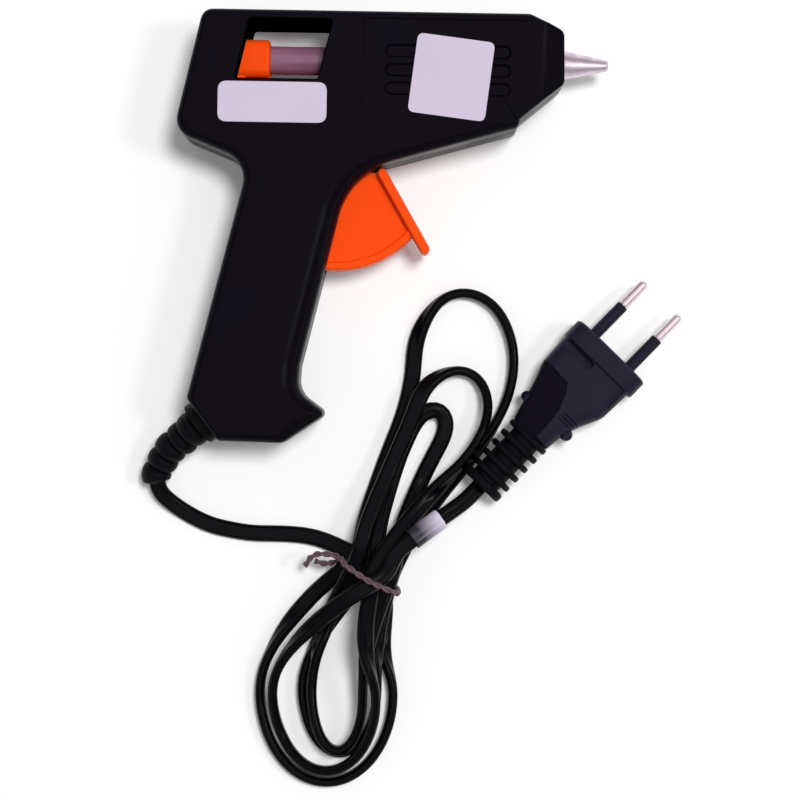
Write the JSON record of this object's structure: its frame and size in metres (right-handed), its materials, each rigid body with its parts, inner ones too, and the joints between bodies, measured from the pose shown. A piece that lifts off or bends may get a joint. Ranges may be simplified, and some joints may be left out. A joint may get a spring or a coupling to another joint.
{
  "type": "mini hot glue applicator",
  "caption": "Mini hot glue applicator with a dark housing, an orange trigger, an aluminium nozzle and a tied hank of flat cord with a two-pin plug.",
  "frame": {"origin": "on the face that the left side lies on, under the trigger's pivot", "axes": "+X to the nozzle, +Y from the grip to the barrel's top, +Z out of the right side"},
  "size_m": [0.1382, 0.1981, 0.0243],
  "materials": {
    "housing": "fine satin, near black with a violet tint",
    "orange": "smooth orange moulding",
    "aluminium": "turned and slightly dull",
    "steel": "zinc plated",
    "ceramic": "fired ceramic with electrodes",
    "silicone": "red brown silicone",
    "glue": "translucent hot melt",
    "cord": "glossy black PVC twin cord",
    "core": "insulated cores",
    "tie": "brown plastic over wire",
    "plug": "moulded PVC, dark slate",
    "label": "blank pale sticker"
  },
  "bodies": {
    "tool": {"right_shell": "housing", "left_shell": "housing", "nozzle": "aluminium", "heat_chamber": "aluminium", "ptc_heater": "ceramic", "heater_clip": "steel", "inlet_sleeve": "silicone", "trigger_pin": "steel", "trigger_spring": "steel", "screw_1": "steel", "screw_2": "steel", "screw_3": "steel", "screw_4": "steel", "screw_5": "steel", "cord_boot": "plug", "cord_clamp": "orange", "clamp_screw_1": "steel", "clamp_screw_2": "steel", "grip_cord": "cord", "wire_1": "core", "wire_2": "core", "crimp_1": "aluminium", "crimp_2": "aluminium", "heater_lead_1": "steel", "heater_lead_2": "steel", "cord_lead": "cord", "cord_hank": "cord", "cord_tail": "cord", "cord_tie": "tie", "cord_label": "label", "plug_body": "plug", "plug_pin_a": "steel", "plug_pin_b": "steel", "pin_sleeve_a": "plug", "pin_sleeve_b": "plug", "rating_label": "label", "square_label": "label"},
    "trigger": {"trigger": "orange"},
    "carriage": {"carriage": "orange"},
    "stick": {"glue_stick": "glue"}
  },
  "joints": [
    {"name": "trigger_pull", "type": "hinge", "parent": "tool", "child": "trigger", "pos_m": [0, 0, 0.012], "axis": [0, 0, 1], "range_deg": [-24, 0], "stiffness_Nm_per_rad": 0.06, "springref_deg": 17.19},
    {"name": "carriage_feed", "type": "slide", "parent": "tool", "child": "carriage", "axis": [1, 0, 0], "range_m": [0, 0.0079]},
    {"name": "stick_feed", "type": "slide", "parent": "tool", "child": "stick", "axis": [1, 0, 0], "range_m": [0, 0.0079]}
  ],
  "couplings": [
    {"joint": "carriage_feed", "follows": "trigger_pull", "m_per_rad": -0.01876},
    {"joint": "stick_feed", "follows": "trigger_pull", "m_per_rad": -0.01876}
  ]
}
